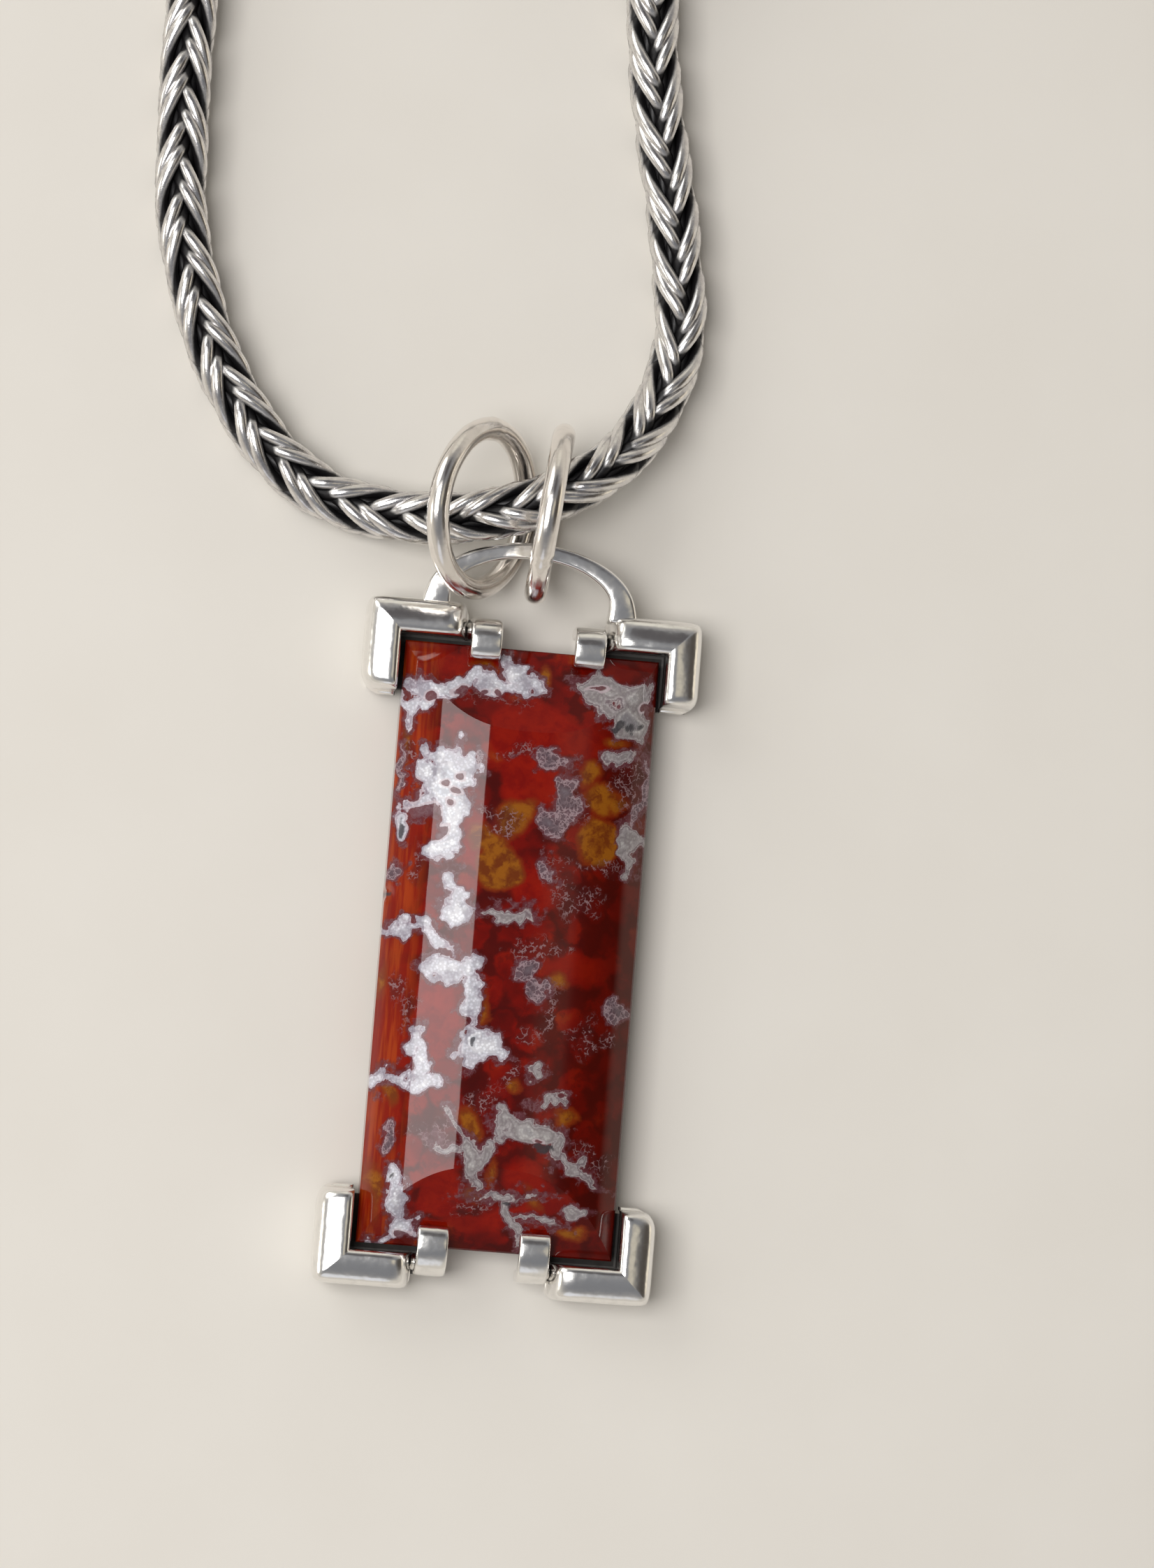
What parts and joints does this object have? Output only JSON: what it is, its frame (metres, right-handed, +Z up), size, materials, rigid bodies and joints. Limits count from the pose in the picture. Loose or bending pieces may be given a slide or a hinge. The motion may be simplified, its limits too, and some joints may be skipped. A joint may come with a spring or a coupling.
{
  "type": "agate pendant necklace",
  "caption": "Long vaulted red agate cabochon in a silver four-corner claw setting, with an arched bail and jump rings on a woven silver chain.",
  "frame": {"origin": "on the surface that the pendant lies on, under the middle of the box of the setting, the bail and the jump rings", "axes": "+Z up out of the stone's polished face, +Y along the stone towards the bail and the chain, +X to the right seen from above"},
  "size_m": [0.0523, 0.1505, 0.0124],
  "materials": {
    "agate": "high polish",
    "silver": "hand polished",
    "woven_silver": "woven wire, bright on its crests and oxidised dark in its recesses"
  },
  "bodies": {
    "pendant": {"agate_stone": "agate", "back_frame": "silver", "corner_top_right": "silver", "corner_top_left": "silver", "corner_bottom_left": "silver", "corner_bottom_right": "silver", "claw_top_right": "silver", "claw_top_left": "silver", "claw_bottom_left": "silver", "claw_bottom_right": "silver", "bail": "silver", "chain": "woven_silver", "chain_coil": "woven_silver", "clasp_hook": "silver", "clasp_eye": "silver"},
    "ring_left": {"jump_ring_left": "silver"},
    "ring_right": {"jump_ring_right": "silver"}
  },
  "joints": [
    {"name": "ring_left_swing", "type": "hinge", "parent": "pendant", "child": "ring_left", "pos_m": [-0.00118, 0.02297, 0.0008], "axis": [0.1279, 0.9918, 0], "range_deg": [0, 24]},
    {"name": "ring_right_swing", "type": "hinge", "parent": "pendant", "child": "ring_right", "pos_m": [0.00055, 0.02327, 0.0008], "axis": [0.0967, 0.9953, 0], "range_deg": [0, 5]}
  ]
}
